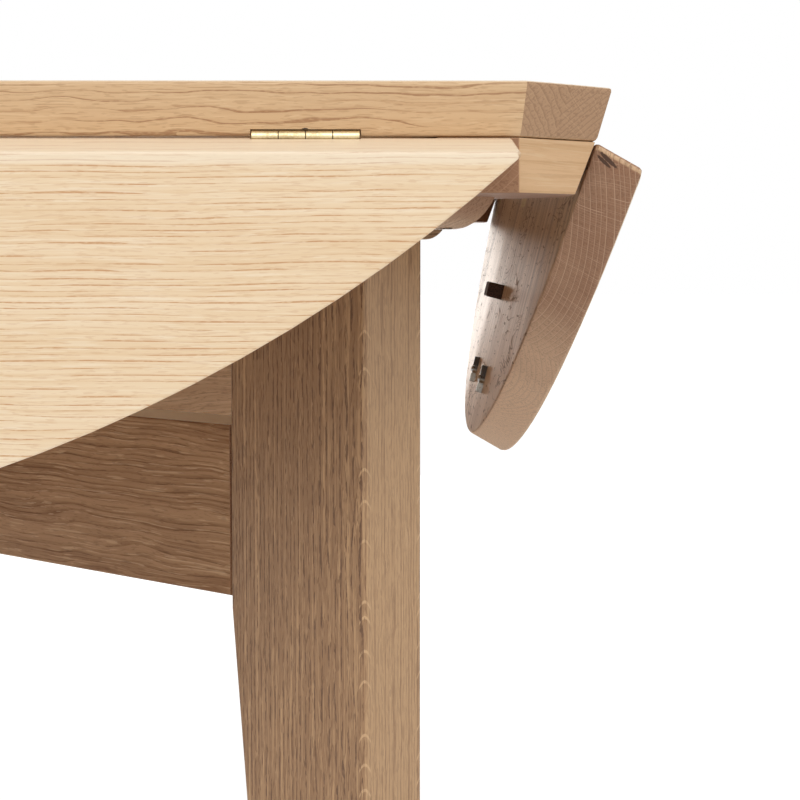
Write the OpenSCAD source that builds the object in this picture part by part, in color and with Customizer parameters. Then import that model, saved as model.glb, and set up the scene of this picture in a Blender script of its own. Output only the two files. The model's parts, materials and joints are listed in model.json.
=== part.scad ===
// Square dining table that opens to a round one: four hinged drop leaves on a
// solid oak top, and a base of two crossed frames set on the diagonals.
// Millimetres, +Z up. The origin is on the floor, under the middle of the top.
// The front of the table faces -Y. The leaves hang folded down.

/* [Top] */
// Height of the table from the floor to the top face
table_h = 740; // [700:5:780]
// Diameter of the round top when all four leaves are raised
round_d = 1500; // [1470:5:1540]
// Thickness of the top and of the leaves
top_t = 27; // [24:0.5:30]
// Undercut of every edge of the top and of the leaves, from upright
edge_slope = 16; // [10:0.5:18]
// Rounding of the long edges of the top and of the leaves
arris_r = 2; // [1:0.25:3]

/* [Leaves] */
// Width of a leaf at its middle, from the top's straight edge to the round edge
leaf_w = 197; // [190:1:205]
// Rounding of the two pointed tips of a leaf, seen from above
tip_r = 2; // [1:0.25:8]
// Gap between the top and a raised leaf
leaf_gap = 0.6; // [0.4:0.1:1]
// Lean of the left and right leaves under the top, from upright
side_hang = 14; // [8:0.5:15]
// Lean of the front and back leaves under the top, from upright
end_hang = 1; // [0:0.5:15]

/* [Hinges] */
// Length of one hinge along its pin
hinge_len = 53; // [44:1:60]
// Width of one hinge plate, from the pin to its far edge
hinge_plate_w = 23; // [20:0.5:28]
// Thickness of the hinge plates
hinge_plate_t = 1.5; // [1.2:0.1:2]
// Outside diameter of the hinge knuckles
knuckle_d = 6; // [5:0.25:7]
// Diameter of the hinge pins
hinge_pin_d = 3; // [2:0.25:3.25]
// Distance of the two outer hinges from the middle of a leaf
hinge_spread = 398; // [300:2:410]
// Radial running play of the hinge pins
pin_play = 0.05; // [0.03:0.01:0.08]
// Gap between neighbouring knuckles, and between a knuckle and the other plate
knuckle_gap = 0.5; // [0.2:0.05:0.7]
// Gap round the barrel in the wood
barrel_gap = 0.75; // [0.3:0.05:1]

/* [Screws] */
// Shank diameter of the hinge screws
hinge_screw_d = 3; // [2.5:0.25:3.5]
// Length of the hinge screws
hinge_screw_len = 16; // [12:1:20]
// Shank diameter of the screws that hold the corner heads
head_screw_d = 5; // [4:0.5:6]
// Length of the screws that hold the corner heads
head_screw_len = 36; // [30:1:40]
// Distance of the corner heads' screws from the heads' inner edge
head_screw_in = 8.5; // [7:0.5:14]
// Distance between the two screws of a corner head, across the arm
head_screw_gap = 24; // [16:1:28]
// Shank diameter of the spring clip screws
clip_screw_d = 2.5; // [2:0.25:3]
// Length of the spring clip screws
clip_screw_len = 12; // [8:1:16]

/* [Stop blocks and spring clips] */
// Distance of a stop block from the hinge pins, over the underside
block_off = 84; // [80:1:90]
// Width of a stop block, away from the hinge pins
block_w = 11; // [8:0.5:14]
// Height that a stop block stands proud of the leaf
block_h = 11.5; // [9:0.5:18]
// How much shorter a stop block is than the arms are thick, at each end
block_end_play = 0.5; // [0.2:0.1:2]
// Distance of the spring clips' middle from the hinge pins
clip_off = 154; // [145:1:158]
// Length of a spring clip, away from the hinge pins
clip_len = 20; // [16:0.5:24]
// Width of a spring clip, along the hinge line
clip_w = 8; // [6:0.5:10]
// Narrowing of the spring clips at their middle
clip_waist = 2; // [0:0.25:3]
// Length of the low neck between the two domes of a spring clip
clip_neck_len = 5.5; // [4.5:0.25:8]
// Height of the neck over the leaf
clip_neck_h = 3; // [1:0.25:3.25]
// Height that the domes of a spring clip stand proud of the leaf
clip_rise = 4; // [3.5:0.25:6]
// Rounding of the domes
clip_round = 0.6; // [0.4:0.1:2]
// Clearance between the two clips and the corner head they hold between them
clip_play = 1; // [0.5:0.25:2]

/* [Corner heads] */
// Thickness of the corner heads
head_t = 27; // [22:0.5:30]
// Width of a corner head across its diagonal
head_w = 116; // [90:1:124]
// Undercut of the two side faces of a head, from upright
head_side_slope = 21; // [18:0.5:24]
// Undercut of the corner face of a head, from upright
head_face_slope = 14; // [8:0.5:20]
// Set-back of the head's upper edges behind the lower edges of the top
head_reveal = 0.5; // [0.2:0.1:2]
// Gap between the top and the heads and arms that turn under it
slide_gap = 0.3; // [0.2:0.1:0.6]
// Clearance of a stop block in its slot between head and arm
slot_play = 1.4; // [0.8:0.2:3]

/* [Base] */
// Thickness of the arms, legs and rails
beam_t = 45; // [38:1:52]
// Height of the upper arms
arm_h = 44; // [40:1:56]
// Length of an arm's end under its corner head
nose_len = 36; // [30:1:48]
// Radius of the rounded underside at an arm's end
nose_r = 36; // [22:1:44]
// Set-back of the legs' outer face behind the slots for the stop blocks
leg_back = 3.7; // [2:0.1:20]
// Width of a leg along its diagonal, above the taper
leg_w = 112; // [95:1:120]
// Width of a leg at the floor
foot_w = 63; // [50:1:80]
// Height above the floor where the inner edge starts to taper
taper_h = 450; // [420:5:456]
// Rounding of the upright edges of the legs
leg_r = 3; // [2:0.5:8]
// Height of the lower rails
rail_h = 100; // [80:1:110]
// Distance of the rails' upper edge below the top face
rail_drop = 183; // [160:1:190]
// Rounding of the long edges of the arms and rails
beam_r = 1.5; // [1:0.25:3]

/* [Joints in the base] */
// Thickness of the tenons
tenon_t = 15; // [12:1:20]
// Length of the rails' tenons inside the legs
rail_tenon = 45; // [30:1:55]
// Length of the legs' tenons inside the arms
leg_tenon = 28; // [20:1:34]
// Shoulder left on the narrow sides of every tenon
tenon_shoulder = 12; // [8:1:18]
// Play of the tenons in their mortises and of the lapped joints
joint_play = 0.1; // [0.05:0.05:0.2]

/* [Pivot and feet] */
// Diameter of the pivot bolt
pivot_d = 12; // [10:1:16]
// Running play of the pivot bolt in the crossed arms
pivot_play = 0.3; // [0.2:0.1:0.5]
// Diameter of the pivot's threaded sleeve in the top
sleeve_d = 20; // [18:1:26]
// Depth of the threaded sleeve in the top
sleeve_h = 18; // [14:0.5:20]
// Diameter of the pivot washer
washer_d = 38; // [30:1:42]
// Thickness of the pivot washer
washer_t = 3; // [2:0.5:4]
// Width of the bolt head across its flats
bolt_flats = 19; // [17:1:24]
// Height of the bolt head
bolt_head_h = 8; // [6:0.5:10]
// Diameter of the foot glides
glide_d = 32; // [24:1:36]
// Thickness of the foot glides
glide_t = 4; // [3:0.5:8]

/* [Hidden] */
$fn = 48;
SIDES = ["right", "back", "left", "front"];
CORNERS = ["back_right", "back_left", "front_left", "front_right"];

// A hair's breadth for the thin layers that hull() joins
layer = 0.01;
// How far a cutting shape runs past the face that it cuts
over = 1;
// Steps along a leaf's arc, round a leaf's tip and along a corner of the top
arc_steps = 40;
tip_steps = 5;
corner_steps = 4;
// Points of a quarter round: share of the radius in height and in set-back
arris = [[0, 1], [0.293, 0.293], [1, 0]];
// Knuckles of one hinge, and the rows of its screws as shares of a plate's width
knuckles = 4;
plate_screw_rows = [0.5, 0.72, 0.5];
// Height of a spring clip's screw head as a share of the shank's diameter
clip_screw_head = 0.7;

// Straight edges of the top, above and below, and its corners' radii
round_r = round_d / 2;
half_side = round_r - leaf_w;
edge_run = top_t * tan(edge_slope);
low_half_side = half_side - edge_run;
low_round_r = round_r - edge_run;
low_corner = sqrt(pow(low_round_r, 2) - pow(low_half_side, 2));
underside = table_h - top_t;

// Hinge pins
axis_x = low_half_side + leaf_gap / 2;
knuckle_r = knuckle_d / 2;
knuckle_len = (hinge_len - (knuckles - 1) * knuckle_gap) / knuckles;
knuckle_step = knuckle_len + knuckle_gap;
hinge_places = [-hinge_spread, 0, hinge_spread];
plate_screw_places = [-hinge_len / 3, 0, hinge_len / 3];

// Corner heads, measured along the diagonal
head_top = underside - slide_gap;
head_low = head_top - head_t;
head_half_side = low_half_side - head_reveal;
head_face = (low_corner + low_half_side) / sqrt(2) - head_reveal;
block_in = axis_x + block_off;
block_out = block_in + block_w;
head_in = block_out + slot_play;
slot_in = block_in - slot_play;
arm_reach = head_in + nose_len;

// The rounding of an arm's end starts where it comes out at the arm's reach
nose_h = arm_h - head_t;
nose_start = arm_reach - sqrt(2 * nose_r * nose_h - pow(nose_h, 2));
head_screw_places = [for (side = [-0.5, 0.5]) [head_in + head_screw_in, side * head_screw_gap]];

// Stop blocks fill the slot from side to side of an arm
block_len = beam_t - 2 * block_end_play;
clip_side = head_w / 2 + clip_play + clip_w / 2;

// Base
arm_low = head_top - arm_h;
rail_top = table_h - rail_drop;
rail_low = rail_top - rail_h;
leg_out = slot_in - leg_back;
leg_in = leg_out - leg_w;
leg_mid = (leg_out + leg_in) / 2;

function leaf_hang(i) = i % 2 == 0 ? side_hang : end_hang;

// Set-back of an edge at a height over the underside: undercut and rounding
function edge_inset(h, inset) = (top_t - h) * tan(edge_slope) + inset;

// Height and inset of each layer of a panel, from its underside to its face
function panel_layers() = concat(
    [for (p = arris) [p[0] * arris_r, p[1] * arris_r]],
    [for (k = [2:-1:0]) [top_t - arris[k][0] * arris_r, arris[k][1] * arris_r]]
);

// Outline of the top: a square whose corners lie on the round table's circle
function top_outline(inset) =
    let (a = half_side - inset, r = round_r - inset, start = acos(a / r), span = 90 - 2 * start)
    [for (q = [0:3]) for (k = [0:corner_steps])
        let (t = 90 * q + start + span * k / corner_steps) [r * cos(t), r * sin(t)]];

// Outline of a leaf that points along +X: an arc, a straight edge and two round tips
function leaf_outline(in_x, r) =
    let (c = in_x + tip_r, s = sqrt(pow(r - tip_r, 2) - pow(c, 2)), g = atan2(s, c))
    concat(
        [for (k = [0:arc_steps]) let (t = -g + 2 * g * k / arc_steps) [r * cos(t), r * sin(t)]],
        [for (k = [1:tip_steps]) let (t = g + (180 - g) * k / tip_steps) [c + tip_r * cos(t), s + tip_r * sin(t)]],
        [for (k = [0:tip_steps - 1]) let (t = 180 + (180 - g) * k / tip_steps) [c + tip_r * cos(t), -s + tip_r * sin(t)]]
    );

// Places
module at_side(i) {
    rotate([0, 0, 90 * i]) children();
}

module at_corner(i) {
    rotate([0, 0, 45 + 90 * i]) children();
}

// Puts what is drawn on a raised leaf where the folded leaf has it
module folded(i) {
    at_side(i)
        translate([axis_x, 0, underside])
            rotate([0, 90 + leaf_hang(i), 0])
                translate([-axis_x, 0, -underside])
                    children();
}

// Solids shared by several pieces
module bar_section(w, h, r) {
    square([w - 2 * r, h], center = true);
    square([w, h - 2 * r], center = true);
    for (x = [-1, 1], y = [-1, 1])
        translate([x * (w / 2 - r), y * (h / 2 - r)])
            circle(r = r);
}

module bar(len, w, h, r) {
    rotate([90, 0, 90])
        linear_extrude(len, center = true)
            bar_section(w, h, r);
}

// A countersunk wood screw whose head faces down at z = 0
module wood_screw(d, len) {
    difference() {
        union() {
            cylinder(h = d / 2, r1 = d, r2 = d / 2);
            cylinder(h = len - d, d = d);
            translate([0, 0, len - d])
                cylinder(h = d, d1 = d, d2 = d / 5);
        }
        translate([0, 0, d / 10])
            cube([2 * d + over, d / 5, d / 2], center = true);
    }
}

// The room that such a screw takes in the wood, and in what it holds
module screw_bore(d, len, play) {
    translate([0, 0, -over])
        cylinder(h = len + play + over, d = d + 2 * play);
}

module screw_sink(d, play) {
    translate([0, 0, -play])
        cylinder(h = d / 2 + play, r1 = d + 2 * play, r2 = d / 2 + play);
}

// Places of the hinge screws on the plates of one side, out from the pins
module plate_screw_spots() {
    for (y = hinge_places, k = [0:2])
        translate([plate_screw_rows[k] * hinge_plate_w, y + plate_screw_places[k], underside])
            children();
}

module barrel_cuts() {
    for (y = hinge_places)
        translate([axis_x, y, underside])
            rotate([90, 0, 0])
                cylinder(h = hinge_len + 2 * barrel_gap, r = knuckle_r + barrel_gap, center = true);
}

// Recess of the plates of one side, out from the pins along +X
module plate_cuts() {
    for (y = hinge_places)
        translate([0, y - hinge_len / 2 - joint_play, underside - over])
            cube([hinge_plate_w + joint_play, hinge_len + 2 * joint_play, hinge_plate_t + over]);
}

// Hinge plates of one side: odd knuckles on the leaf, even ones on the top
module plates(first) {
    difference() {
        for (y = hinge_places) translate([0, y, underside]) {
            translate([knuckle_r + knuckle_gap, -hinge_len / 2, 0])
                cube([hinge_plate_w - knuckle_r - knuckle_gap, hinge_len, hinge_plate_t]);
            for (k = [first:2:knuckles - 1])
                translate([0, -hinge_len / 2 + k * knuckle_step, 0]) {
                    cube([knuckle_r + knuckle_gap + over, knuckle_len, hinge_plate_t]);
                    rotate([-90, 0, 0])
                        cylinder(h = knuckle_len, r = knuckle_r);
                }
        }
        for (y = hinge_places)
            translate([0, y, underside])
                rotate([90, 0, 0])
                    cylinder(h = hinge_len + 2 * over, d = hinge_pin_d + 2 * pin_play, center = true);
        plate_screw_spots() {
            screw_bore(hinge_screw_d, hinge_plate_t + over, joint_play);
            screw_sink(hinge_screw_d, joint_play);
        }
    }
}

module top_side_parts(i) {
    at_side(i) translate([axis_x, 0, 0]) mirror([1, 0, 0]) children();
}

module leaf_side_parts(i) {
    folded(i) translate([axis_x, 0, 0]) children();
}

// Top and leaves
module top_panel() {
    color("burlywood") difference() {
        hull() for (p = panel_layers())
            translate([0, 0, underside + min(p[0], top_t - layer)])
                linear_extrude(layer)
                    polygon(top_outline(edge_inset(p[0], p[1])));
        for (i = [0:3]) {
            at_side(i) barrel_cuts();
            top_side_parts(i) {
                plate_cuts();
                plate_screw_spots() screw_bore(hinge_screw_d, hinge_screw_len, joint_play);
            }
        }
        translate([0, 0, underside - over])
            cylinder(h = sleeve_h + over, d = sleeve_d + 2 * joint_play);
    }
}

module leaf(i) {
    color("wheat") folded(i) difference() {
        hull() for (p = panel_layers())
            translate([0, 0, underside + min(p[0], top_t - layer)])
                linear_extrude(layer)
                    polygon(leaf_outline(
                        half_side + leaf_gap - edge_inset(p[0], -p[1]),
                        round_r - edge_inset(p[0], p[1])
                    ));
        barrel_cuts();
        translate([axis_x, 0, 0]) {
            plate_cuts();
            plate_screw_spots() screw_bore(hinge_screw_d, hinge_screw_len, joint_play);
            clip_spots() screw_bore(clip_screw_d, clip_screw_len - clip_neck_h, joint_play);
        }
    }
}

module leaf_plates(i) {
    color("goldenrod") leaf_side_parts(i) plates(0);
}

module top_plates(i) {
    color("goldenrod") top_side_parts(i) plates(1);
}

module leaf_screws(i) {
    color("gold") leaf_side_parts(i) plate_screw_spots() wood_screw(hinge_screw_d, hinge_screw_len);
}

module top_plate_screws() {
    color("gold") for (i = [0:3])
        top_side_parts(i) plate_screw_spots() wood_screw(hinge_screw_d, hinge_screw_len);
}

module hinge_pins() {
    color("darkgoldenrod") for (i = [0:3], y = hinge_places)
        at_side(i)
            translate([axis_x, y, underside])
                rotate([90, 0, 0])
                    cylinder(h = hinge_len, d = hinge_pin_d, center = true);
}

// A dark hardwood block that drops into the slot between arm and corner head
module stop_block(i) {
    color("saddlebrown") leaf_side_parts(i)
        translate([block_off, 0, underside])
            hull() for (p = arris)
                translate([p[1], -block_len / 2 + p[1], p[0] - block_h])
                    cube([block_w - 2 * p[1], block_len - 2 * p[1], block_h - p[0]]);
}

// Side view of a spring clip: two pressed domes and the low neck that is screwed down
module clip_profile() {
    dome_len = (clip_len - clip_neck_len) / 2;
    translate([-clip_neck_len / 2 - over, 0])
        square([clip_neck_len + 2 * over, clip_neck_h]);
    for (side = [-1, 1])
        translate([side * (clip_len - dome_len) / 2, 0]) {
            translate([-dome_len / 2, 0])
                square([dome_len, clip_rise - clip_round]);
            translate([-dome_len / 2 + clip_round, 0])
                square([dome_len - 2 * clip_round, clip_rise]);
            for (end = [-1, 1])
                translate([end * (dome_len / 2 - clip_round), clip_rise - clip_round])
                    circle(r = clip_round);
        }
}

module clip_spots() {
    for (y = [-clip_side, clip_side])
        translate([clip_off, y, underside])
            children();
}

module spring_clips(i) {
    color("silver") leaf_side_parts(i) clip_spots() difference() {
        rotate([-90, 0, 0])
            linear_extrude(clip_w, center = true)
                clip_profile();
        for (side = [-1, 1])
            translate([0, side * clip_w, -clip_rise - over])
                cylinder(h = clip_rise + 2 * over, d = clip_w + clip_waist);
        translate([0, 0, -clip_rise])
            cylinder(h = clip_rise + over, d = clip_screw_d + 2 * joint_play);
    }
}

module clip_screws(i) {
    color("gainsboro") leaf_side_parts(i) clip_spots() translate([0, 0, -clip_neck_h]) {
        intersection() {
            sphere(r = clip_screw_d);
            translate([0, 0, -clip_screw_head * clip_screw_d])
                cylinder(h = clip_screw_head * clip_screw_d, r = clip_screw_d);
        }
        cylinder(h = clip_screw_len, d = clip_screw_d);
    }
}

// Base, drawn along +X and turned to its diagonal
// Half-space cutter: keeps what lies behind a face that leans in as it goes down
module undercut_face(slope) {
    rotate([0, slope, 0])
        translate([0, -round_r, -2 * head_t])
            cube([round_r, 2 * round_r, 4 * head_t]);
}

module corner_head(i) {
    color("tan") at_corner(i) difference() {
        translate([head_in, -head_w / 2, head_low])
            cube([head_face - head_in, head_w, head_t]);
        translate([head_face, 0, head_top])
            undercut_face(head_face_slope);
        for (side = [-1, 1])
            rotate([0, 0, 45 * side])
                translate([head_half_side, 0, head_top])
                    undercut_face(head_side_slope);
        for (p = head_screw_places)
            translate([p[0], p[1], arm_low])
                screw_bore(head_screw_d, head_screw_len, joint_play);
    }
}

module head_screws() {
    color("gray") for (i = [0:3], p = head_screw_places)
        at_corner(i)
            translate([p[0], p[1], arm_low])
                wood_screw(head_screw_d, head_screw_len);
}

// Side view of an arm: slots for the heads and rounded undersides at both ends
module arm_profile() {
    difference() {
        translate([-arm_reach, 0])
            square([2 * arm_reach, arm_h]);
        for (side = [-1, 1]) scale([side, 1]) {
            translate([slot_in, arm_h - head_t])
                square([arm_reach, head_t + over]);
            difference() {
                translate([nose_start, -over])
                    square([nose_r + over, nose_r + over]);
                translate([nose_start, nose_r])
                    circle(r = nose_r, $fn = 96);
            }
        }
    }
}

module arm(turn, lap_low) {
    color("peru") rotate([0, 0, turn]) difference() {
        intersection() {
            translate([0, beam_t / 2, arm_low])
                rotate([90, 0, 0])
                    linear_extrude(beam_t)
                        arm_profile();
            translate([0, 0, arm_low + arm_h / 2])
                bar(2 * arm_reach + over, beam_t, arm_h, beam_r);
        }
        lap_cut(arm_low, arm_h, lap_low);
        for (side = [-1, 1]) {
            translate([side * leg_mid, 0, arm_low - over])
                translate([-leg_w / 2 + tenon_shoulder - joint_play, -tenon_t / 2 - joint_play, 0])
                    cube([leg_w - 2 * tenon_shoulder + 2 * joint_play, tenon_t + 2 * joint_play,
                        leg_tenon + joint_play + over]);
            for (p = head_screw_places)
                translate([side * p[0], p[1], arm_low]) {
                    screw_bore(head_screw_d, head_screw_len, joint_play);
                    screw_sink(head_screw_d, joint_play);
                }
        }
        cylinder(h = table_h, d = pivot_d + 2 * pivot_play);
    }
}

// Half the height taken out where two crossed beams pass through each other
module lap_cut(low, h, from_below) {
    z = from_below ? low - over : low + h / 2;
    translate([-beam_t / 2 - joint_play, -beam_t, z])
        cube([beam_t + 2 * joint_play, 2 * beam_t, h / 2 + over]);
}

module rail(turn, lap_low) {
    color("sienna") rotate([0, 0, turn]) difference() {
        union() {
            translate([0, 0, rail_low + rail_h / 2])
                bar(2 * leg_in, beam_t, rail_h, beam_r);
            translate([-leg_in - rail_tenon, -tenon_t / 2, rail_low + tenon_shoulder])
                cube([2 * (leg_in + rail_tenon), tenon_t, rail_h - 2 * tenon_shoulder]);
        }
        lap_cut(rail_low, rail_h, lap_low);
    }
}

// Thin rounded slice of a leg: from the outer face inwards, at one height
module leg_slice(w, z) {
    for (x = [leg_out - leg_r, leg_out - w + leg_r], y = [-1, 1])
        translate([x, y * (beam_t / 2 - leg_r), z])
            cylinder(h = layer, r = leg_r, $fn = 24);
}

module leg(i) {
    color("peru") at_corner(i) difference() {
        union() {
            hull() {
                leg_slice(leg_w, arm_low - layer);
                leg_slice(leg_w, taper_h);
                leg_slice(foot_w, glide_t);
            }
            translate([leg_in + tenon_shoulder, -tenon_t / 2, arm_low - over])
                cube([leg_w - 2 * tenon_shoulder, tenon_t, leg_tenon + over]);
        }
        translate([leg_in - over, -tenon_t / 2 - joint_play, rail_low + tenon_shoulder - joint_play])
            cube([rail_tenon + joint_play + over, tenon_t + 2 * joint_play,
                rail_h - 2 * tenon_shoulder + 2 * joint_play]);
    }
}

module foot_glides() {
    color("dimgray") for (i = [0:3])
        at_corner(i)
            translate([leg_out - foot_w / 2, 0, 0])
                cylinder(h = glide_t, d = glide_d);
}

// Pivot on which the whole top turns by an eighth of a turn
module pivot_bolt() {
    head_z = arm_low - washer_t - bolt_head_h;
    color("lightgray") translate([0, 0, head_z]) {
        cylinder(h = bolt_head_h, d = bolt_flats / cos(30), $fn = 6);
        cylinder(h = underside + sleeve_h - over - head_z, d = pivot_d);
    }
}

module pivot_washer() {
    color("silver") translate([0, 0, arm_low - washer_t]) difference() {
        cylinder(h = washer_t, d = washer_d);
        translate([0, 0, -over])
            cylinder(h = washer_t + 2 * over, d = pivot_d + 2 * pivot_play);
    }
}

module pivot_sleeve() {
    color("darkgoldenrod") translate([0, 0, underside]) difference() {
        cylinder(h = sleeve_h, d = sleeve_d);
        translate([0, 0, -over])
            cylinder(h = sleeve_h + 2 * over, d = pivot_d + 2 * joint_play);
    }
}

top_panel();
for (i = [0:3]) {
    leaf(i);
    leaf_plates(i);
    leaf_screws(i);
    stop_block(i);
    spring_clips(i);
    clip_screws(i);
    top_plates(i);
    corner_head(i);
    leg(i);
}
hinge_pins();
top_plate_screws();
head_screws();
arm(45, true);  // upper_arm
arm(-45, false);  // lower_arm
rail(45, true);  // upper_rail
rail(-45, false);  // lower_rail
foot_glides();
pivot_bolt();
pivot_washer();
pivot_sleeve();
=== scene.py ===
import json
import math

import bmesh
import bpy
from mathutils import Matrix, Vector


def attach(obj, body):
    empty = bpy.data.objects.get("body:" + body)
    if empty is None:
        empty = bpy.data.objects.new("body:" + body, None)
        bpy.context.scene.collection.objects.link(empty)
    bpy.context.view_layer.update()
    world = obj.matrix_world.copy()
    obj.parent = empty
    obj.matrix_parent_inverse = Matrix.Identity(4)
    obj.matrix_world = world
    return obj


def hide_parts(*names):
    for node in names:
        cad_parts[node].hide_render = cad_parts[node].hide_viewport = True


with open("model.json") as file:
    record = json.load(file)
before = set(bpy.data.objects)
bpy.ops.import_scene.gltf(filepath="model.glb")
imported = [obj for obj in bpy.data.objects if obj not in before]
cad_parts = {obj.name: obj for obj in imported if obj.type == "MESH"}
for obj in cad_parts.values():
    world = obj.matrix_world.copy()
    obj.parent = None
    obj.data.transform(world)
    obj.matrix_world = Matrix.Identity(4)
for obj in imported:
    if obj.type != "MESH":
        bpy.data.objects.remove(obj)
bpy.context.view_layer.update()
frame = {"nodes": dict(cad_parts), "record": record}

print("frame:", len(frame["nodes"]), "nodes")


# Shader maths as plain expressions

class Socket:
    def __init__(self, shade, link):
        self.shade = shade
        self.link = link

    def math(self, operation, *values):
        return self.shade.node("ShaderNodeMath", {"operation": operation}, dict(enumerate(values)))

    def __add__(self, other):
        return self.math("ADD", self, other)

    def __radd__(self, other):
        return self.math("ADD", other, self)

    def __sub__(self, other):
        return self.math("SUBTRACT", self, other)

    def __rsub__(self, other):
        return self.math("SUBTRACT", other, self)

    def __mul__(self, other):
        return self.math("MULTIPLY", self, other)

    def __rmul__(self, other):
        return self.math("MULTIPLY", other, self)

    def __truediv__(self, other):
        return self.math("DIVIDE", self, other)

    def __pow__(self, other):
        return self.math("POWER", self, other)

    def floor(self):
        return self.math("FLOOR", self)

    def fract(self):
        return self.math("FRACT", self)

    def absolute(self):
        return self.math("ABSOLUTE", self)

    def larger(self, other):
        return self.math("MAXIMUM", self, other)


class Finish:
    def __init__(self, name, world=False):
        self.owner = (bpy.data.worlds if world else bpy.data.materials).new(name)
        self.owner.use_nodes = True
        self.tree = self.owner.node_tree
        self.tree.nodes.clear()

    # one way to make any node: its type, its settings, its sockets' values or links, the output wanted
    def node(self, kind, settings, sockets, output=0):
        made = self.tree.nodes.new(kind)
        for name, value in settings.items():
            setattr(made, name, value)
        for name, value in sockets.items():
            if isinstance(value, Socket):
                self.tree.links.new(value.link, made.inputs[name])
            else:
                made.inputs[name].default_value = value
        return Socket(self, made.outputs[output] if made.outputs else None)

    def place(self):
        return self.node("ShaderNodeTexCoord", {}, {}, "Object")

    def facing(self):
        return self.node("ShaderNodeTexCoord", {}, {}, "Normal")

    def dot(self, vector, direction):
        other = direction if isinstance(direction, Socket) else tuple(direction)
        return self.node("ShaderNodeVectorMath", {"operation": "DOT_PRODUCT"}, {0: vector, 1: other}, "Value")

    def minus(self, vector, offset):
        return self.node("ShaderNodeVectorMath", {"operation": "SUBTRACT"}, {0: vector, 1: tuple(offset)})

    def join(self, x, y, z):
        return self.node("ShaderNodeCombineXYZ", {}, {"X": x, "Y": y, "Z": z})

    def noise(self, vector, scale=1.0, detail=1.0, roughness=0.5, distortion=0.0):
        return self.node("ShaderNodeTexNoise", {"noise_dimensions": "3D"},
                         {"Vector": vector, "Scale": scale, "Detail": detail, "Roughness": roughness,
                          "Distortion": distortion}, "Fac")

    def chance(self, value):
        return self.node("ShaderNodeTexWhiteNoise", {"noise_dimensions": "1D"}, {"W": value}, "Value")

    def step(self, value, low, high, toLow=0.0, toHigh=1.0):
        return self.node("ShaderNodeMapRange", {"interpolation_type": "SMOOTHSTEP"},
                         {"Value": value, "From Min": low, "From Max": high,
                          "To Min": toLow, "To Max": toHigh})

    def mix(self, factor, first, second, how="MIX"):
        return self.node("ShaderNodeMix", {"data_type": "RGBA", "blend_type": how},
                         {0: factor, 6: first, 7: second}, 2)

    # rays that meet a surface straight from the lens or by way of a mirror or a glass
    def seen(self):
        kinds = [self.node("ShaderNodeLightPath", {}, {}, kind + " Ray")
                 for kind in ("Is Camera", "Is Glossy", "Is Transmission")]
        return kinds[0].larger(kinds[1]).larger(kinds[2])

    def bump(self, height, strength, distance):
        return self.node("ShaderNodeBump", {}, {"Height": height, "Strength": strength, "Distance": distance})

    def surface(self, sockets):
        shader = self.node("ShaderNodeBsdfPrincipled", {}, sockets)
        self.node("ShaderNodeOutputMaterial", {}, {"Surface": shader})
        return self.owner


def shadeOf(red, green, blue):
    # a colour as it reads on a screen, turned into the linear values that nodes take
    def linear(value):
        value = value / 255
        return value / 12.92 if value <= 0.04045 else ((value + 0.055) / 1.055) ** 2.4
    return (linear(red), linear(green), linear(blue), 1)


# Oak, solid all through: staves, growth rings about each stave's own pith, pores along the grain and rays
# that stand on the rings, so that long grain, end grain and edges agree where they meet

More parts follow.
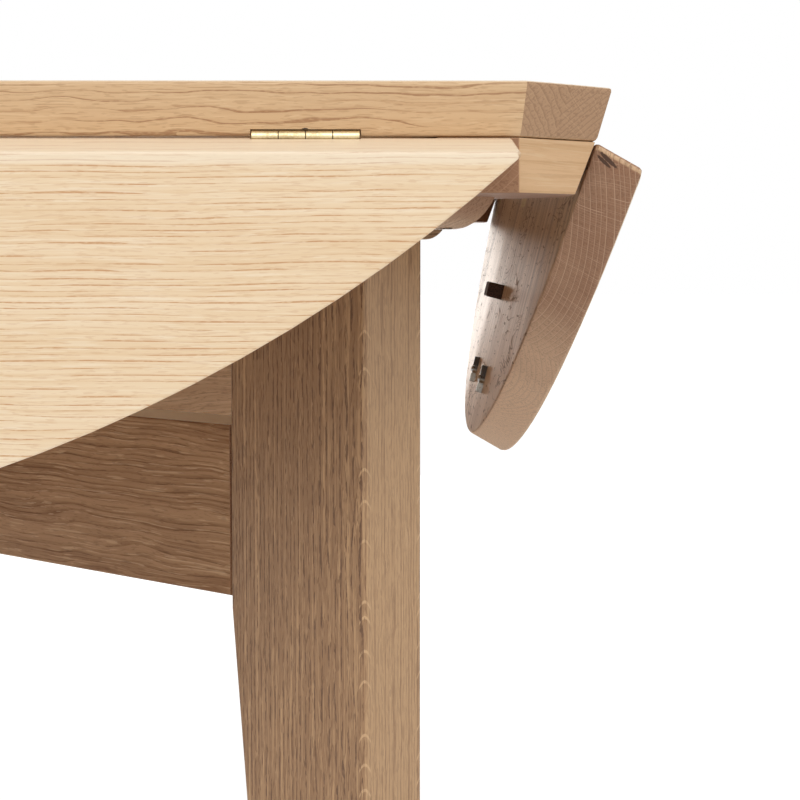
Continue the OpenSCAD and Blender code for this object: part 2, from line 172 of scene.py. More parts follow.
oakLook = {
    "light": (222, 186, 142),      # between the rings
    "dark": (198, 156, 112),       # in the open start of a ring and in dark streaks
    "pore": (150, 108, 70),
    "ray": (234, 204, 164),
    "endTone": (166, 124, 88),     # where a face cuts across the grain
    "endLine": (196, 158, 122),    # ring bounds and rays on such a face
    "endSpeck": (120, 84, 60),
    "paleAndPaintedLight": (196, 158, 122),    # pale patches of end grain, and painted light towards a leaf's middle and on its underside
    "endPatch": 1.0,               # how patchy end grain is
    "endRing": 0.0,                # how dark the start of a ring is there
    "endLines": 0.8,               # how strong pale ring bounds and rays are
    "endHoles": 0.45,              # and how dark its pores are
    "paintedLightFrom": 0.0,               # distance from the middle within which end grain is painted paler, as painted light from the floor
    "broadShade": 0.0,              # how much darker the faces across the staves are painted, as painted shade
    "upperReflection": 0.0,              # how much the upper faces are painted paler, as a painted reflection of the pale room
    "lowerShade": 0.0,              # and how much the lower ones are darkened, as painted shade
    "outer": None,                 # (light, dark, pore) of a face that belongs to the raised table's upper side
    "staveWidth": 1.0,
    "staveShift": 0.5,
    "staveTone": 0.3,
    "pithAway": (0.03, 0.12),      # from the piece's middle to the tree's middle, through the face
    "pithSide": 0.07,              # and along it
    "known": (),                   # (stave number, side, away) of staves whose place in the tree is known
    "ringWidth": 0.0034,
    "ringStrength": 0.35,
    "rowShare": 0.3,               # widest share of a ring that its row of pores takes
    "rowLength": 0.05,             # how the rows break up along the grain
    "rowAmount": 0.5,
    "rowStrength": 0.6,
    "rowNarrow": 1.0,              # and their strength on the faces along the staves
    "drift": 0.005,                # slow wander of the grain
    "ripple": 0.0010,              # its short waves
    "waves": 0.0,                  # and its finest ones
    "toneLength": 0.5,
    "toneWidth": 0.03,
    "toneStrength": 1.4,
    "streakLength": 0.3,
    "streakWidth": 0.003,
    "streakStrength": 0.3,
    "dashLength": 0.05,            # long dark pores
    "dashWidth": 0.0008,
    "dashAmount": 0.555,
    "dashInRings": 0.08,
    "dashStrength": 0.6,
    "speckLength": 0.008,          # short ones
    "speckWidth": 0.0008,
    "speckAmount": 0.58,
    "speckStrength": 0.25,
    "fleckLength": 0.03,           # pale ray ends on long grain
    "fleckWidth": 0.0010,
    "fleckAmount": 0.58,
    "fleckStrength": 0.3,
    "holeLength": 0.02,            # pores on end grain
    "holeWidth": 0.0012,
    "holeAmount": 0.52,
    "holeInRings": 0.03,
    "rayPitch": 0.012,             # radians between rays on end grain
    "rayWidth": 0.14,              # share of that pitch
    "rayFaint": 0.25,              # strength of the faintest ray
    "roughness": 0.42,
    "endRoughness": 0.15,
    "polish": 0.0,                 # how much smoother the underside is
    "curls": 0.0,                  # thin dark curly lines and specks there
    "innerDark": 0.0,              # how much darker its open streaks are
    "innerPaintedLight": 0.0,              # and how much paler it is painted away from the hinges, as painted light
    "marks": (),                   # dark marks, scars in the wood and the painted shade of a chip: (middle, direction, half length, half width)
    "markTone": (84, 60, 46),      # and their colour
    "rimHighlight": None,                   # (distance, strength) of the painted highlight along a leaf's inner edge: the band by the hinge line is painted paler
    "gloss": 0.5,
    "bump": 0.15,
}

# What all oak shares. A field says how quickly a noise changes along the grain and across it, a size is
# the length of its patches, and a range is where a soft step begins and ends
oakFigure = {
    "staveStep": 1.37,
    "sameNumber": 0.4,             # how far apart two stave numbers may be and still be the same
    "seedStep": 7.31,
    "chanceSteps": (31.7, 57.3),
    "startSpread": 9,
    "driftField": (1.8, 5),
    "rippleField": (14, 40),
    "waveField": (45, 160),
    "driftReach": 4,
    "driftReachDeep": 3,
    "rippleReach": 4,
    "outerCalm": 0.75,             # how much less the grain ripples on the table's upper side
    "unevenField": (0.6, 90),
    "uneven": 1.8,                 # how unequal the rings are
    "earlyEnd": 0.55,
    "earlyMean": 0.35,
    "boundRange": (0.42, 0.48),
    "boundStrength": 0.7,
    "threadSoft": 0.07,
    "threadSeeds": {"dash": 3.1, "speck": 7.7, "fleck": 15.2, "hole": 21.4},
    "rowStep": 4.7,
    "rowField": 40,
    "rowRough": 0.6,
    "rowRange": (-0.06, 0.2),
    "rowSoft": 0.08,
    "poreSize": (0.0035, 0.0007),
    "poreRange": (0.3, 0.55),
    "poreFaint": 0.45,
    "broadRange": (0.3, 0.7),
    "rayField": (20, 60),
    "rayWander": 0.5,
    "rayPlace": (0.2, 0.6),        # first place of a ray in its pitch, and how far the others lie
    "rayCore": 0.4,
    "rayStep": 8.4,
    "rayPartField": (40, 3.7, 30),
    "rayPartShift": 2.2,
    "rayPartRange": (0.40, 0.5),
    "rayRarity": 5,
    "endRange": (0.3, 0.72),
    "faceRange": (0.7, 0.95),
    "lowerRange": (0.5, 0.9),
    "streakGain": 4,
    "innerLightRange": (0.04, 0.14),     # distance from the hinge pins over which the underside's painted light comes in
    "darkRange": (-0.4, 0.9),
    "curlSize": (0.016, 0.12),
    "curlShift": (4.4, 0.3),
    "curlNoise": (3.0, 0.55, 0.6),
    "curlRange": (0.005, 0.016),
    "patchSize": (0.07, 0.10),
    "patchShift": 5.2,
    "patchRange": (0.45, 0.6),
    "dotSize": (0.003, 0.02),
    "dotShift": 0.8,
    "dotRange": (0.66, 0.72),
    "rimHighlightSoft": 0.002,
    "patchShares": (0.8, 0.2),
    "paintedLightSoft": 0.6,
    "markGrain": 900.0,
    "markRange": (0.8, 1.2),
    "markStrength": 0.95,
    # the colour of the painted reflection on upper faces
    "reflectionTone": (0.95, 0.93, 0.9, 1),
    "dashRough": 0.15,
    "curlRough": 0.3,
    "polishUneven": 0.06,
    "dashDepth": 0.35,
    "speckDepth": 0.15,
    "holeDepth": 0.1,
    "relief": 0.0004,
}


class Oak(Finish):
    def __init__(self, name, grain, across, origin, seed, look, fleck=None):
        super().__init__(name)
        self.look = dict(oakLook, **look)
        self.seed = seed
        self.fleck = fleck
        self.grain = Vector(grain).normalized()
        self.across = Vector(across).normalized()
        self.deep = self.grain.cross(self.across).normalized()
        self.spot = self.minus(self.place(), origin)
        self.u = self.dot(self.spot, self.grain)
        self.vStraight = self.dot(self.spot, self.across)
        self.wStraight = self.dot(self.spot, self.deep)
        self.outer = self.towards(self.deep, oakFigure["faceRange"])
        self.inner = self.towards(-self.deep, oakFigure["faceRange"])
        self.broad = self.dot(self.facing(), self.across).absolute()
        self.endGrain = self.step(self.dot(self.facing(), self.grain).absolute(), *oakFigure["endRange"])

    def towards(self, direction, limits):
        return self.step(self.dot(self.facing(), direction), *limits)

    def tone(self, part):
        return shadeOf(*self.look[part])

    # noise over the straight grain, and over the grain as it wanders
    def field(self, along, sideways):
        return self.noise(self.join(self.u * along + self.start, self.vStraight * sideways,
                                    self.wStraight * sideways)) - 0.5

    def stripes(self, kind, shift, detail):
        width = self.look[kind + "Width"]
        along = self.u / self.look[kind + "Length"] + shift
        return self.noise(self.join(along, self.v / width, self.w / width), detail=detail)

    # thin marks along the grain, of the length, width and amount that the look gives their kind
    def thread(self, kind, less=0.0):
        amount = self.look[kind + "Amount"]
        shift = self.start + oakFigure["threadSeeds"][kind]
        return self.step(self.stripes(kind, shift, 1.0) - less, amount, amount + oakFigure["threadSoft"])

    # each stave is a piece of another tree
    def cutStaves(self):
        look = self.look
        place = (self.vStraight + look["staveShift"]) / look["staveWidth"]
        number = place.floor()
        self.stave = number * oakFigure["staveStep"] + self.seed * oakFigure["seedStep"]
        self.inStave = (place.fract() - 0.5) * look["staveWidth"]
        pithChance = self.chance(self.stave)
        self.startChance, self.toneChance = (self.chance(self.stave + step)
                                             for step in oakFigure["chanceSteps"])
        near, far = look["pithAway"]
        self.pithDeep = near + pithChance * (far - near)
        self.pithSide = (self.startChance - 0.5) * look["pithSide"] * 2
        for one, side, away in look["known"]:
            isOne = number.math("COMPARE", number, one, oakFigure["sameNumber"])
            self.pithDeep = self.pithDeep * (1 - isOne) + isOne * away
            self.pithSide = self.pithSide * (1 - isOne) + isOne * side

    # the grain wanders slowly and ripples a little
    def bendGrain(self):
        look = self.look
        self.start = self.startChance * oakFigure["startSpread"] + self.seed
        drift = self.field(*oakFigure["driftField"]) * look["drift"]
        ripple = self.field(*oakFigure["rippleField"]) * look["ripple"]
        if look["waves"]:
            ripple = ripple + self.field(*oakFigure["waveField"]) * look["waves"]
        if look["outer"]:
            ripple = ripple * (1 - self.outer * oakFigure["outerCalm"])
        bend = drift * oakFigure["driftReach"] + ripple * oakFigure["rippleReach"]
        self.v = self.vStraight + bend
        self.w = self.wStraight + drift * oakFigure["driftReachDeep"] + ripple * oakFigure["rippleReach"]
        fromPith = self.inStave + self.pithSide + bend
        depth = self.w + self.pithDeep
        self.radius = (fromPith * fromPith + depth * depth) ** 0.5
        self.angle = self.node("ShaderNodeMath", {"operation": "ARCTAN2"}, {0: fromPith, 1: depth})

    # rings: an open, porous start, then dense wood
    def growRings(self):
        along, through = oakFigure["unevenField"]
        uneven = self.noise(self.join(self.u * along, self.radius * through, self.stave))
        self.ringCount = self.radius / self.look["ringWidth"] + uneven * oakFigure["uneven"]
        self.ring = self.ringCount.fract()
        self.early = self.step(self.ring, 0.0, oakFigure["earlyEnd"], 1.0, 0.0)
        self.bound = self.step((self.ring - 0.5).absolute(), *oakFigure["boundRange"])

    # long and short pores, and rows of them, one at the start of each ring, broken along the grain
    def openPores(self):
        look = self.look
        self.dashes = self.thread("dash", (1 - self.early) * look["dashInRings"])
        self.specks = self.thread("speck")
        self.holes = self.thread("hole", (1 - self.early) * look["holeInRings"])
        broken = self.noise(self.join(self.u / look["rowLength"] + self.start,
                                      self.ringCount.floor() * oakFigure["rowStep"],
                                      (self.v + self.w) * oakFigure["rowField"]),
                            detail=2.0, roughness=oakFigure["rowRough"])
        below, above = oakFigure["rowRange"]
        share = self.step(broken, look["rowAmount"] + below, look["rowAmount"] + above) * look["rowShare"]
        length, width = oakFigure["poreSize"]
        dotted = self.noise(self.join(self.u / length, self.v / width, self.w / width))
        self.rows = self.step(share - self.ring, 0.0, oakFigure["rowSoft"]) \
            * self.step(dotted, *oakFigure["poreRange"], oakFigure["poreFaint"], 1.0)
        if look["rowNarrow"] < 1:
            narrow = self.step(self.broad, *oakFigure["broadRange"], look["rowNarrow"], 1.0)
            self.rows = self.rows * narrow
            self.dashes = self.dashes * narrow

    # straight lines from the tree's middle, seen on end grain, a few of them strong
    def castRays(self):
        look = self.look
        along, through = oakFigure["rayField"]
        wander = self.noise(self.join(self.u * along, self.radius * through, 0.5)) * oakFigure["rayWander"]
        turn = self.angle / look["rayPitch"] + wander
        number = turn.floor()
        first, spread = oakFigure["rayPlace"]
        place = self.chance(number + self.stave) * spread + first
        strength = self.chance(number + self.stave + oakFigure["rayStep"]) ** oakFigure["rayRarity"]
        through, between, along = oakFigure["rayPartField"]
        part = self.noise(self.join(self.radius * through + oakFigure["rayPartShift"], number * between,
                                    self.u * along))
        line = self.step((turn.fract() - place).absolute(), look["rayWidth"] * oakFigure["rayCore"],
                         look["rayWidth"], 1.0, 0.0)
        self.rays = line * self.step(part, *oakFigure["rayPartRange"]) \
            * (look["rayFaint"] + strength * (1 - look["rayFaint"]))

    def colourLongGrain(self):
        look = self.look
        self.cloud = self.stripes("tone", self.start, 2.0)
        streak = self.stripes("streak", self.start, 2.0)
        self.darker = (self.cloud - 0.5) * look["toneStrength"] \
            + (streak - 0.5) * look["streakStrength"] * oakFigure["streakGain"] \
            + (self.early - oakFigure["earlyMean"]) * look["ringStrength"] \
            + (self.toneChance - 0.5) * look["staveTone"] * 2 + 0.5
        # painted shade: faces across the staves are painted darker, standing in for the shade the hanging
        # leaves cast on a leg's sides
        if look["broadShade"]:
            self.darker = self.darker + (self.broad - 0.5) * look["broadShade"]
        light, dark, pore = self.tone("light"), self.tone("dark"), self.tone("pore")
        if look["outer"]:
            light, dark, pore = (self.mix(self.outer, own, shadeOf(*there))
                                 for own, there in zip((light, dark, pore), look["outer"]))
        body = self.mix(self.step(self.darker, 0.0, 1.0), light, dark)
        body = self.mix(self.thread("fleck") * look["fleckStrength"], body, self.tone("ray"))
        if self.fleck:
            body = self.mix(self.arches() * self.fleck["strength"], body, self.tone("ray"))
        pores = (self.dashes * look["dashStrength"]).larger(self.specks * look["speckStrength"])
        return self.mix(pores.larger(self.rows * look["rowStrength"]), body, pore)

    # small pale arches where rays come out on the rounded outer arrises of a leg
    def arches(self):
        fleck = self.fleck
        outwards = self.dot(self.spot, fleck["out"]) - fleck["outer"]
        sideways = self.dot(self.spot, fleck["over"]).absolute() - fleck["half"]
        aside = (outwards - sideways) * math.sqrt(0.5)
        near = self.step(aside.absolute(), fleck["reach"] * fleck["full"], fleck["reach"], 1.0, 0.0)
        far, close = fleck["zone"]
        onEdge = self.step(outwards + sideways, -fleck["reach"] * far, -fleck["reach"] * close)
        climb = (self.u + aside * aside * fleck["bend"]) / fleck["pitch"]
        number = climb.floor()
        first, spread = fleck["places"]
        placeSeed, raritySeed = fleck["seeds"]
        where = (climb.fract() - first - self.chance(number + placeSeed) * spread).absolute()
        line = self.step(where, fleck["line"] * fleck["lineCore"], fleck["line"], 1.0, 0.0)
        chance = self.chance(number + raritySeed)
        return line * near * onEdge * chance.math("GREATER_THAN", chance, fleck["rarity"])

    # the underside of a leaf, with painted light on it away from the hinges, and a painted highlight along its
    # inner edge
    def colourInside(self, body):
        look = self.look
        # painted light: the underside is painted paler away from the hinge pins, standing in for the bright
        # grazing reflection there; near the pins it stays as it is
        if look["innerPaintedLight"]:
            away = self.step(self.u, *oakFigure["innerLightRange"])
            body = self.mix(self.inner * away * look["innerPaintedLight"], body, self.tone("paleAndPaintedLight"))
        if look["innerDark"]:
            streaks = self.step(self.darker, *oakFigure["darkRange"])
            body = self.mix(self.inner * look["innerDark"] * streaks, body, self.tone("pore"))
        if look["curls"]:
            self.curls = self.drawCurls()
            body = self.mix(self.curls, body, self.tone("pore"))
        # painted highlight: the band along the leaf's hinge line is painted in the pale ray colour
        if look["rimHighlight"]:
            distance, strength = look["rimHighlight"]
            edge = self.step(self.vStraight, distance, distance + oakFigure["rimHighlightSoft"], strength, 0.0)
            body = self.mix(edge, body, self.tone("ray"))
        return body

    def drawCurls(self):
        def patches(size, along, through, *noise):
            return self.noise(self.join(self.u / size[0] + along, self.vStraight / size[1], through), 1.0,
                              *noise)
        figure = patches(oakFigure["curlSize"], *oakFigure["curlShift"], *oakFigure["curlNoise"])
        where = self.step(patches(oakFigure["patchSize"], 0.0, oakFigure["patchShift"]),
                          *oakFigure["patchRange"])
        lines = self.step((figure - 0.5).absolute(), *oakFigure["curlRange"], 1.0, 0.0) * where
        dots = self.step(patches(oakFigure["dotSize"], 0.0, oakFigure["dotShift"]), *oakFigure["dotRange"])
        return lines.larger(dots) * self.inner * self.look["curls"]

    def colourEndGrain(self):
        look = self.look
        cloudShare, chanceShare = oakFigure["patchShares"]
        pale = ((self.cloud - 0.5) * cloudShare + self.toneChance * chanceShare) * look["endPatch"]
        # painted light: end grain near a leaf's middle, low on a hanging leaf's edge, is painted paler,
        # standing in for the light thrown up from the floor
        if look["paintedLightFrom"]:
            pale = pale + self.step(self.vStraight.absolute(), look["paintedLightFrom"] * oakFigure["paintedLightSoft"],
                                    look["paintedLightFrom"], 1.0, 0.0)
        cut = self.mix(pale, self.tone("endTone"), self.tone("paleAndPaintedLight"))
        dark = (self.holes * look["endHoles"]).larger(self.early * self.early * look["endRing"])
        cut = self.mix(dark, cut, self.tone("endSpeck"))
        lines = (self.bound * oakFigure["boundStrength"]).larger(self.rays)
        return self.mix(lines * look["endLines"], cut, self.tone("endLine"))

    def inPiece(self, parts):
        return self.grain * parts[0] + self.across * parts[1] + self.deep * parts[2]

    # dark marks (scars in the wood, and the painted shade of a chip), painted shade on lower faces and a
    # painted reflection on upper faces
    def marksAndPaintedLight(self, colour):
        look = self.look
        # dark marks: scars in the wood, and painted shade where a chip lies
        for middle, direction, length, width in look["marks"]:
            away = self.minus(self.spot, self.inPiece(middle))
            reach = self.dot(away, self.inPiece(direction))
            aside = self.dot(away, away) - reach * reach
            ragged = self.noise(self.spot, oakFigure["markGrain"], 2.0) - 0.5
            spread = (reach / length) ** 2 + aside / width ** 2 + ragged
            colour = self.mix(self.step(spread, *oakFigure["markRange"], oakFigure["markStrength"], 0.0),
                              colour, self.tone("markTone"))
        # painted shade: lower faces are darkened towards the end-grain speck colour, standing in for the shade
        # under them
        if look["lowerShade"]:
            lower = self.towards((0, 0, -1), oakFigure["lowerRange"])
            colour = self.mix(lower * look["lowerShade"], colour, self.tone("endSpeck"))
        # painted reflection: upper faces are painted paler, standing in for the pale room reflected on them at
        # a grazing view
        if look["upperReflection"]:
            upper = self.towards((0, 0, 1), oakFigure["faceRange"])
            colour = self.mix(upper * look["upperReflection"], colour, oakFigure["reflectionTone"])
        return colour

    def roughen(self):
        look = self.look
        roughness = look["roughness"] + self.dashes * oakFigure["dashRough"] \
            + self.endGrain * look["endRoughness"]
        if look["polish"]:
            # the underside is polished more than the rest, and unevenly from streak to streak
            uneven = ((self.darker - 0.5) + (self.startChance - 0.5)) * oakFigure["polishUneven"]
            roughness = roughness - self.inner * (look["polish"] - uneven)
        if look["curls"]:
            roughness = roughness + self.curls * oakFigure["curlRough"]
        return roughness

    def finished(self):
        self.cutStaves()
        self.bendGrain()
        self.growRings()
        self.openPores()
        self.castRays()
        body = self.colourInside(self.colourLongGrain())
        colour = self.marksAndPaintedLight(self.mix(self.endGrain, body, self.colourEndGrain()))
        height = 0.5 - self.dashes * oakFigure["dashDepth"] * (1 - self.endGrain) \
            - self.specks * oakFigure["speckDepth"] - self.holes * oakFigure["holeDepth"] * self.endGrain
        return self.surface({
            "Base Color": colour,
            "Roughness": self.roughen(),
            "Specular IOR Level": self.look["gloss"],
            "Normal": self.bump(height, self.look["bump"], oakFigure["relief"]),
        })


def oak(*parts):
    return Oak(*parts).finished()


# Metals and small materials

# "brush" says how closely brush lines follow each other along x, y and z, and "grain" how fine a grain is
brassLook = {"bright": (222, 204, 162), "worn": (160, 136, 96), "roughness": 0.34, "brush": (900, 60, 900)}
# the hinge pins: a dull brass, made dark as painted shade for the gaps between the knuckles, where only the
# pins show
pinLook = {"bright": (104, 84, 56), "worn": (66, 52, 34), "roughness": 0.5, "brush": (400, 400, 400)}
# the spring clips' half nearer the hinge is painted dark as painted shade
springLook = {"bright": (196, 198, 192), "worn": (120, 120, 112), "paintedShadeEnd": (66, 54, 46),
              "roughness": 0.25, "brush": (300, 300, 300)}
steelLook = {"bright": (186, 186, 184), "worn": (120, 120, 118), "roughness": 0.36, "brush": (400, 400, 400)}
blockLook = {"light": (86, 58, 42), "dark": (38, 22, 14), "roughness": 0.55, "grain": 900.0}
glideLook = {"light": (74, 64, 56), "dark": (42, 34, 28), "roughness": 0.9, "grain": 1500.0}
wear = {
    "detail": 3.0,
    "clouds": 90.0,
    "cloudShare": 0.6,
    "brushShare": 0.4,
    "range": (0.42, 0.7),
    "amount": 0.6,
    "rough": 0.12,
    "brushRough": 0.06,
    "brushBump": 0.12,
    "brushDepth": 0.0002,
    "shadeEdgeSoft": 0.001,
    "shadeEndAmount": 0.92,
}
grains = {"detail": 4.0, "fine": 0.6, "range": (0.3, 0.7), "rough": 0.1, "bump": 0.2, "depth": 0.0003}


def metal(name, look, paintedShadeEnd=None):
    shade = Finish(name)
    spot = shade.place()
    brushed = shade.noise(shade.node("ShaderNodeVectorMath", {"operation": "MULTIPLY"},
                                     {0: spot, 1: look["brush"]}), detail=wear["detail"])
    cloudy = shade.noise(spot, wear["clouds"], wear["detail"])
    worn = shade.step(cloudy * wear["cloudShare"] + brushed * wear["brushShare"], *wear["range"])
    colour = shade.mix(worn * wear["amount"], shadeOf(*look["bright"]), shadeOf(*look["worn"]))
    if paintedShadeEnd:
        # painted shade: the half of a spring clip nearer the hinge pins is painted dark, standing in for the
        # shade on it
        pin, outwards, middle = paintedShadeEnd
        reach = shade.dot(shade.minus(spot, pin), outwards)
        dark = shade.step(reach, middle - wear["shadeEdgeSoft"], middle + wear["shadeEdgeSoft"],
                          wear["shadeEndAmount"], 0.0)
        colour = shade.mix(dark, colour, shadeOf(*look["paintedShadeEnd"]))
    return shade.surface({
        "Base Color": colour,
        "Metallic": 1.0,
        "Roughness": look["roughness"] + worn * wear["rough"] + brushed * wear["brushRough"],
        "Normal": shade.bump(brushed, wear["brushBump"], wear["brushDepth"]),
    })


def plain(name, look):
    shade = Finish(name)
    grainy = shade.noise(shade.place(), look["grain"], grains["detail"], grains["fine"])
    return shade.surface({
        "Base Color": shade.mix(shade.step(grainy, *grains["range"]), shadeOf(*look["light"]),
                                shadeOf(*look["dark"])),
        "Roughness": look["roughness"] + grainy * grains["rough"],
        "Normal": shade.bump(grainy, grains["bump"], grains["depth"]),
    })


# Pieces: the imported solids, welded, with flat faces merged, edges softened and smooth shading

softening = {
    "head": 0.0008,                # how wide the softened edges are
    "block": 0.0004,
    "weld": 2e-6,
    "flatAngle": 0.4,
    "bevelAngle": 25,
    "sharpAngle": 30,
    "shortest": 4,                 # edges shorter than so many widths stay sharp
    "segments": 3,
    "profile": 0.6,
    "weight": 100,
}
bodyOf = {node: body for body, nodes in frame["record"]["behaviour"]["bodies"].items() for node in nodes}


def bends(edge, angle):
    return len(edge.link_faces) != 2 or edge.calc_face_angle(0) >= math.radians(angle)


def soften(work, width):
    wide = [edge for edge in work.edges
            if len(edge.link_faces) == 2 and edge.calc_face_angle(0) > math.radians(softening["bevelAngle"])
            and edge.calc_length() > softening["shortest"] * width]
    bmesh.ops.bevel(work, geom=wide, offset=width, segments=softening["segments"],
                    profile=softening["profile"], affect="EDGES", clamp_overlap=False)


def softened(nodeName, width, finish):
    work = bmesh.new()
    work.from_mesh(frame["nodes"][nodeName].data)
    bmesh.ops.remove_doubles(work, verts=work.verts, dist=softening["weld"])
    bmesh.ops.dissolve_limit(work, angle_limit=math.radians(softening["flatAngle"]), verts=work.verts,
                             edges=work.edges)
    if width > 0:
        soften(work, width)
    for face in work.faces:
        face.smooth = True
    for edge in work.edges:
        edge.smooth = not bends(edge, softening["sharpAngle"])
    mesh = bpy.data.meshes.new(nodeName + "Shape")
    work.to_mesh(mesh)
    work.free()
    mesh.materials.append(finish)
    piece = bpy.data.objects.new(nodeName + "Piece", mesh)
    bpy.context.scene.collection.objects.link(piece)
    weigh = piece.modifiers.new("weigh", "WEIGHTED_NORMAL")
    weigh.keep_sharp = True
    weigh.weight = softening["weight"]
    bpy.context.view_layer.objects.active = piece
    bpy.ops.object.select_all(action="DESELECT")
    piece.select_set(True)
    bpy.ops.object.modifier_apply(modifier=weigh.name)
    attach(piece, bodyOf[nodeName])
    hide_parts(nodeName)


def paint(nodeName, finish):
    for slot in frame["nodes"][nodeName].material_slots:
        slot.material = finish


sides = ["right", "back", "left", "front"]
corners = ["back_right", "back_left", "front_left", "front_right"]
hang = {"right": 14, "back": 1, "left": 14, "front": 1}     # degrees inwards from upright
clipMiddle = 0.154                                          # from the hinge pins to the spring clips
# what each piece's figure starts from, so that no two pieces look alike
seeds = {"top": 3, "leaf": 5, "head": 20, "leg": 30, "arm": 40, "rail": 50}


def sideTurn(index):
    return Matrix.Rotation(math.radians(90 * index), 3, "Z")


def cornerTurn(index):
    return Matrix.Rotation(math.radians(45 + 90 * index), 3, "Z")


def leafAxes(index):
    # outwards over the raised leaf, and its upper face, both as they point when the leaf hangs
    fold = Matrix.Rotation(math.radians(90 + hang[sides[index]]), 3, "Y")
    return (sideTurn(index) @ fold @ Vector((1, 0, 0)), sideTurn(index) @ Vector((0, 1, 0)),
            sideTurn(index) @ fold @ Vector((0, 0, 1)))


pins = {joint["child"]: Vector(joint["pos_m"]) for joint in frame["record"]["behaviour"]["joints"]}

# light, dark and pore colours of the raised table's upper side
upperSide = ((240, 216, 182), (226, 194, 153), (203, 157, 115))

topLook = {
    "light": (216, 181, 139), "dark": (194, 154, 112), "pore": (152, 105, 66), "outer": upperSide,
    "endTone": (180, 141, 106), "endLine": (208, 170, 132), "endSpeck": (134, 96, 66),
    "endPatch": 0.2, "endRing": 0.6, "endLines": 0.5, "rayFaint": 0.5,
    "staveWidth": 0.098, "staveShift": 0.529, "pithAway": (0.05, 0.14), "pithSide": 0.09,
    "known": ((-1, 0.05, 0.09), (0, -0.05, 0.08)),
    "drift": 0.0022, "waves": 0.0004,
    "ringWidth": 0.003, "rowLength": 0.16, "rowShare": 0.28, "rowAmount": 0.46, "rowStrength": 0.7,
    "dashLength": 0.05, "dashWidth": 0.0006, "dashAmount": 0.58, "dashStrength": 0.45,
    "streakLength": 0.4, "streakWidth": 0.0022, "streakStrength": 0.35, "toneWidth": 0.02,
    # painted shade: a near-black mark where a chip above the middle of the front right hinge lies in shade
    "marks": (((0.3977, -0.5464, -0.0103), (1, 0, 0), 0.0020, 0.0011),), "markTone": (44, 26, 18),
}
frontLeafLook = {
    "light": (243, 221, 189), "dark": (232, 202, 162), "pore": (204, 156, 112), "ray": (248, 233, 209),
    "endTone": (206, 172, 134), "endLine": (224, 192, 156), "endSpeck": (180, 142, 106),
    "staveWidth": 0.14, "staveShift": 0.005, "staveTone": 0.1, "known": ((0, -0.13, 0.06), (1, 0.12, 0.05)),
    # a painted highlight on the band along the hinge line
    "drift": 0.002, "rimHighlight": (0.013, 0.5),
    "ringWidth": 0.0030, "ringStrength": 0.3,
    "rowLength": 0.05, "rowShare": 0.26, "rowAmount": 0.44, "rowStrength": 1.0,
    "dashLength": 0.03, "dashWidth": 0.0006, "dashAmount": 0.6, "dashStrength": 0.4,
    "toneStrength": 0.9, "streakStrength": 0.25,
}
sideLeafLook = {
    "light": (212, 176, 138), "dark": (176, 138, 104), "pore": (84, 60, 46), "ray": (212, 182, 152),
    "outer": upperSide,
    "endTone": (166, 125, 97), "endLine": (240, 208, 178), "endSpeck": (116, 82, 60),
    # painted light from the floor on the lower part of the leaf's edge
    "paleAndPaintedLight": (236, 200, 166), "paintedLightFrom": 0.44,
    "endRing": 0.2, "endLines": 0.66, "endHoles": 0.28, "rayPitch": 0.008, "rayFaint": 0.3,
    "staveWidth": 0.161, "staveShift": 0.345, "staveTone": 0.4,
    "known": ((-2, -0.174, 0.16), (-1, -0.013, 0.16), (0, 0.03, 0.10)),
    "drift": 0.002, "ripple": 0.0003,
    "ringWidth": 0.0034, "rowStrength": 0.35, "dashStrength": 0.4,
    "toneWidth": 0.05, "toneLength": 0.3, "toneStrength": 1.0, "streakWidth": 0.012, "streakStrength": 0.5,
    # painted light on the underside away from the hinges
    "innerDark": 0.3, "innerPaintedLight": 0.85, "curls": 0.6, "polish": 0.15,
    "gloss": 0.45, "roughness": 0.5, "bump": 0.04,
}
# two scars in the right leaf's edge, near the hinge line
rightMarks = (
    ((0.0075, -0.4987, 0.0086), (0.48, 0.18, 0.855), 0.0066, 0.0015),
    ((0.0086, -0.4965, 0.0067), (0.48, 0.18, 0.855), 0.0050, 0.0013),
)
headLook = {
    "light": (227, 187, 143), "dark": (213, 171, 125), "pore": (188, 141, 100),
    # painted shade: the heads' lower faces are darkened
    "endTone": (158, 116, 87), "endLine": (185, 144, 114), "endSpeck": (124, 84, 63), "lowerShade": 0.9,
    "known": ((0, -0.09, 0.04),),
    "rowLength": 0.02, "rowStrength": 0.25, "dashStrength": 0.2, "speckStrength": 0.1, "toneStrength": 0.8,
    "gloss": 0.3,
}
armLook = {
    "light": (212, 178, 142), "dark": (176, 140, 108), "pore": (106, 78, 57),
    "endTone": (150, 112, 86), "endLine": (180, 142, 114), "endSpeck": (110, 80, 60),
    "known": ((0, 0.05, 0.08),), "gloss": 0.2,
}
legLook = {
    "light": (190, 152, 112), "dark": (158, 121, 86), "pore": (104, 72, 48), "ray": (214, 176, 134),
    # painted shade on the legs' faces across the staves
    "endTone": (150, 112, 86), "endLine": (180, 142, 114), "endSpeck": (110, 80, 60), "broadShade": 1.0,
    "known": ((0, -0.12, 0.10),), "waves": 0.0007,
    "ringWidth": 0.0022, "rowLength": 0.012, "rowShare": 0.3, "rowAmount": 0.42, "rowStrength": 0.9,
    "rowNarrow": 0.4,
    "dashLength": 0.012, "dashWidth": 0.0007, "dashAmount": 0.55, "dashInRings": 0.05, "dashStrength": 0.6,
    "toneWidth": 0.015, "toneStrength": 1.3, "streakWidth": 0.002, "streakStrength": 1.0,
    "fleckLength": 0.02, "fleckWidth": 0.0006, "fleckAmount": 0.6, "fleckStrength": 0.35,
}
